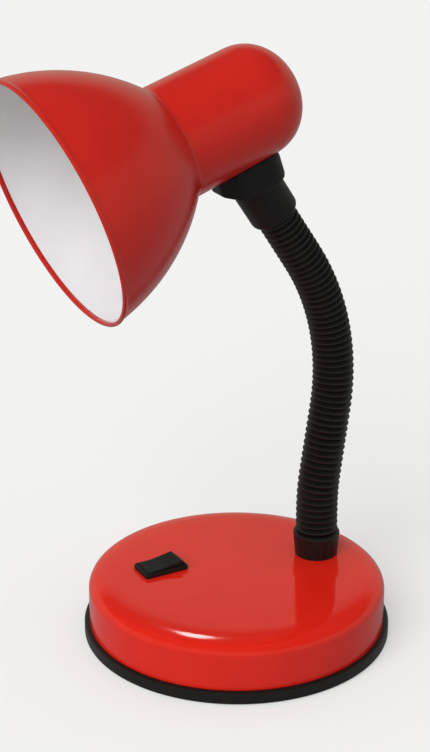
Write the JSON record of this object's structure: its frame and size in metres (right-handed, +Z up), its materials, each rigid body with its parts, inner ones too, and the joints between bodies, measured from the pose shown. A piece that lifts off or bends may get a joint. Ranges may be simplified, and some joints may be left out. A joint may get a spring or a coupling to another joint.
{
  "type": "desk lamp",
  "caption": "Desk lamp with a round weighted base, a rocker switch, a ribbed flexible neck and a bell-shaped steel shade round a small bulb.",
  "frame": {"origin": "centre of the base's underside, on the table", "axes": "+Z up, the lamp's head faces -Y, the cable inlet is at the back on +Y, the neck lies in the plane x = 0"},
  "size_m": [0.1448, 0.1815, 0.2823],
  "materials": {
    "red_enamel": "glossy red enamel",
    "white_enamel": "satin white enamel inside the shade",
    "black_plastic": "satin black moulded plastic",
    "black_rubber": "matte black flexible sleeve and pad",
    "lead_sheath": "black wire insulation",
    "plated_steel": "zinc plated steel",
    "cast_weight": "rough cast disc",
    "brass": "plain brass contact",
    "white_plastic": "natural moulded connector",
    "bulb_glass": "frosted bulb glass",
    "bulb_cap": "plain screw cap"
  },
  "bodies": {
    "base": {"base_cover": "red_enamel", "base_trim": "black_plastic", "base_plate": "plated_steel", "base_pad": "black_rubber", "cover_pillars": "plated_steel", "plate_screws": "plated_steel", "ballast_weight": "cast_weight", "cable_bush": "black_plastic", "switch_housing": "black_plastic", "switch_leaf": "brass", "switch_terminals": "brass", "terminal_block": "white_plastic", "switch_leads": "lead_sheath", "gooseneck_collar": "black_plastic", "lower_end_fitting": "plated_steel", "lower_lock_washer": "plated_steel", "lower_hex_nut": "plated_steel", "lower_lead": "lead_sheath", "neck_sleeve_1": "black_rubber", "neck_lead_1": "lead_sheath"},
    "rocker": {"switch_rocker": "black_plastic"},
    "link_1": {"arm_link_1": "plated_steel", "neck_sleeve_2": "black_rubber", "neck_lead_2": "lead_sheath"},
    "link_2": {"arm_link_2": "plated_steel", "neck_sleeve_3": "black_rubber", "neck_lead_3": "lead_sheath"},
    "link_3": {"arm_link_3": "plated_steel", "neck_sleeve_4": "black_rubber", "neck_lead_4": "lead_sheath"},
    "link_4": {"arm_link_4": "plated_steel", "neck_sleeve_5": "black_rubber", "neck_lead_5": "lead_sheath"},
    "link_5": {"arm_link_5": "plated_steel", "neck_sleeve_6": "black_rubber", "neck_lead_6": "lead_sheath"},
    "link_6": {"arm_link_6": "plated_steel"},
    "head": {"neck_sleeve_7": "black_rubber", "neck_lead_7": "lead_sheath", "shade": "red_enamel", "head_saddle": "black_plastic", "upper_end_fitting": "plated_steel", "head_lock_washer": "plated_steel", "head_nut": "plated_steel", "head_clamp": "black_plastic", "lampholder_bracket": "plated_steel", "lampholder_body": "black_plastic", "lampholder_ring": "black_plastic", "lampholder_cap": "black_plastic", "lampholder_shell": "brass", "centre_contact": "brass", "holder_nipple": "plated_steel", "holder_nut": "plated_steel", "bulb_glass": "bulb_glass", "bulb_cap": "bulb_cap", "bulb_contact": "brass", "upper_lead": "lead_sheath", "head_cores": "lead_sheath"}
  },
  "joints": [
    {"name": "neck_bend_1", "type": "hinge", "parent": "base", "child": "link_1", "pos_m": [0, 0.0442, 0.05334], "axis": [1, 0, 0], "range_deg": [-18, 15], "deforming": ["neck_sleeve_1", "neck_lead_1"]},
    {"name": "neck_sway_2", "type": "hinge", "parent": "link_1", "child": "link_2", "pos_m": [0, 0.04648, 0.07768], "axis": [0, 0.9927, -0.1206], "range_deg": [-15, 15], "deforming": ["neck_sleeve_2", "neck_lead_2"]},
    {"name": "neck_bend_3", "type": "hinge", "parent": "link_2", "child": "link_3", "pos_m": [0, 0.0501, 0.10188], "axis": [1, 0, 0], "range_deg": [-20, 14], "deforming": ["neck_sleeve_3", "neck_lead_3"]},
    {"name": "neck_sway_4", "type": "hinge", "parent": "link_3", "child": "link_4", "pos_m": [0, 0.05147, 0.12627], "axis": [0, 0.9986, 0.0525], "range_deg": [-15, 15], "deforming": ["neck_sleeve_4", "neck_lead_4"]},
    {"name": "neck_bend_5", "type": "hinge", "parent": "link_4", "child": "link_5", "pos_m": [0, 0.04755, 0.15038], "axis": [1, 0, 0], "range_deg": [-20, 10], "deforming": ["neck_sleeve_5", "neck_lead_5"]},
    {"name": "neck_sway_6", "type": "hinge", "parent": "link_5", "child": "link_6", "pos_m": [0, 0.03849, 0.17306], "axis": [0, 0.8919, 0.4523], "range_deg": [-15, 15], "deforming": ["neck_sleeve_6", "neck_lead_6"]},
    {"name": "neck_bend_7", "type": "hinge", "parent": "link_6", "child": "head", "pos_m": [0, 0.02552, 0.19381], "axis": [1, 0, 0], "range_deg": [-20, 16], "deforming": ["neck_sleeve_7", "neck_lead_7"]},
    {"name": "switch_rock", "type": "hinge", "parent": "base", "child": "rocker", "pos_m": [-0.0211, -0.0293, 0.0281], "axis": [-1, 0, 0], "range_deg": [0, 14]}
  ]
}
